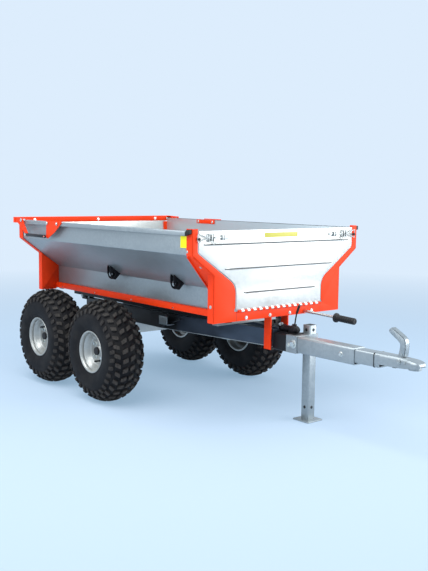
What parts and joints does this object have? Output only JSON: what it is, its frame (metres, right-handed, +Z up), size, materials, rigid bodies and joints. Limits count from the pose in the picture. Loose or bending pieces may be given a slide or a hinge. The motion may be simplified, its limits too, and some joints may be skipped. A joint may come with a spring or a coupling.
{
  "type": "atv dump trailer",
  "caption": "Tandem-axle ATV tipping trailer: galvanised flared body in red frames, top-hung tailgate, fold-down front gate, telescoping drawbar with ball coupler, hand pump and jack.",
  "frame": {"origin": "on the ground, on the centreline, in the middle of the overall length", "axes": "+X forward to the coupler, +Y to the left, +Z up"},
  "size_m": [2.645, 1.266, 0.979],
  "materials": {
    "tyre_rubber": "matte black rubber, worn brown-grey on the lug tops",
    "rim_silver": "silver enamel",
    "galvanised": "hot-dip galvanised, dull silver",
    "bright_galvanised": "new galvanised sheet, bright",
    "zinc_plate": "bright zinc plate",
    "red_paint": "gloss red powder coat",
    "black_paint": "satin black powder coat",
    "black_plastic": "matte black",
    "amber_reflector": "clear amber"
  },
  "bodies": {
    "chassis": {"axle_carrier": "galvanised", "walking_beams": "galvanised", "chassis_rails": "galvanised", "cross_members": "galvanised", "drawbar_sleeve": "black_paint", "drawbar_tube": "galvanised", "drawbar_extension": "galvanised", "ball_coupler": "zinc_plate", "coupler_handle": "zinc_plate", "drawbar_clamp": "galvanised", "hand_pump": "black_paint", "pump_lever": "black_plastic"},
    "jack": {"jack_leg": "galvanised"},
    "bed": {"bed_floor": "galvanised", "bed_cross_bars": "black_paint", "bed_bearers": "black_paint", "bed_sills": "red_paint", "side_panel_left": "galvanised", "side_panel_right": "galvanised", "front_frame": "red_paint", "rear_frame": "red_paint", "strut_brackets": "red_paint", "tie_down_lugs": "black_paint", "reflectors": "amber_reflector", "guide_bars": "red_paint", "handle_rod": "zinc_plate", "handle_grip": "black_plastic"},
    "front_gate": {"front_gate": "bright_galvanised", "gate_latches": "zinc_plate"},
    "tailgate": {"tailgate": "bright_galvanised", "tailgate_beam": "red_paint", "tailgate_arms": "red_paint"},
    "ram_tube": {"ram_tube": "black_paint"},
    "ram_rod": {"ram_rod": "galvanised"},
    "wheel_front_left": {"tyre_front_left": "tyre_rubber", "rim_front_left": "rim_silver"},
    "wheel_front_right": {"tyre_front_right": "tyre_rubber", "rim_front_right": "rim_silver"},
    "wheel_rear_left": {"tyre_rear_left": "tyre_rubber", "rim_rear_left": "rim_silver"},
    "wheel_rear_right": {"tyre_rear_right": "tyre_rubber", "rim_rear_right": "rim_silver"},
    "strut_tube_left": {"strut_tube_left": "black_paint"},
    "strut_rod_left": {"strut_rod_left": "zinc_plate"},
    "strut_tube_right": {"strut_tube_right": "black_paint"},
    "strut_rod_right": {"strut_rod_right": "zinc_plate"}
  },
  "joints": [
    {"name": "wheel_front_left_spin", "type": "hinge", "parent": "chassis", "child": "wheel_front_left", "pos_m": [-0.3775, 0.528, 0.2795], "axis": [0, 1, 0], "continuous": true},
    {"name": "wheel_front_right_spin", "type": "hinge", "parent": "chassis", "child": "wheel_front_right", "pos_m": [-0.3775, -0.528, 0.2795], "axis": [0, 1, 0], "continuous": true},
    {"name": "wheel_rear_left_spin", "type": "hinge", "parent": "chassis", "child": "wheel_rear_left", "pos_m": [-0.9675, 0.528, 0.2795], "axis": [0, 1, 0], "continuous": true},
    {"name": "wheel_rear_right_spin", "type": "hinge", "parent": "chassis", "child": "wheel_rear_right", "pos_m": [-0.9675, -0.528, 0.2795], "axis": [0, 1, 0], "continuous": true},
    {"name": "bed_tip", "type": "hinge", "parent": "chassis", "child": "bed", "pos_m": [-1.1625, 0, 0.478], "axis": [0, -1, 0], "range_deg": [0, 45]},
    {"name": "tailgate_swing", "type": "hinge", "parent": "bed", "child": "tailgate", "pos_m": [-1.2155, 0, 0.963], "axis": [0, 1, 0], "range_deg": [0, 70]},
    {"name": "front_gate_fold", "type": "hinge", "parent": "bed", "child": "front_gate", "pos_m": [0.4485, 0, 0.572], "axis": [0, -1, 0], "range_deg": [-70, 0]},
    {"name": "jack_slide", "type": "slide", "parent": "chassis", "child": "jack", "axis": [0, 0, 1], "range_m": [0, 0.33]},
    {"name": "ram_swing", "type": "hinge", "parent": "chassis", "child": "ram_tube", "pos_m": [-0.7725, 0, 0.41], "axis": [0, -1, 0], "range_deg": [0, 58.44]},
    {"name": "ram_stroke", "type": "slide", "parent": "ram_tube", "child": "ram_rod", "axis": [0.9944, 0, 0.1057], "range_m": [0, 0.21639]},
    {"name": "strut_left_swing", "type": "hinge", "parent": "bed", "child": "strut_tube_left", "pos_m": [-0.8995, 0.608, 0.878], "axis": [0, -1, 0], "range_deg": [0, 1.96]},
    {"name": "strut_left_stroke", "type": "slide", "parent": "strut_tube_left", "child": "strut_rod_left", "axis": [-1, 0, 0], "range_m": [0, 0.12812]},
    {"name": "strut_right_swing", "type": "hinge", "parent": "bed", "child": "strut_tube_right", "pos_m": [-0.8995, -0.608, 0.878], "axis": [0, -1, 0], "range_deg": [0, 1.96]},
    {"name": "strut_right_stroke", "type": "slide", "parent": "strut_tube_right", "child": "strut_rod_right", "axis": [-1, 0, 0], "range_m": [0, 0.12812]}
  ],
  "couplings": [
    {"joint": "ram_swing", "follows": "bed_tip", "ratio": 1.2987},
    {"joint": "ram_stroke", "follows": "bed_tip", "m_per_rad": 0.27552},
    {"joint": "strut_left_swing", "follows": "tailgate_swing", "ratio": 0.02795},
    {"joint": "strut_left_stroke", "follows": "tailgate_swing", "m_per_rad": 0.10487},
    {"joint": "strut_right_swing", "follows": "tailgate_swing", "ratio": 0.02795},
    {"joint": "strut_right_stroke", "follows": "tailgate_swing", "m_per_rad": 0.10487}
  ]
}
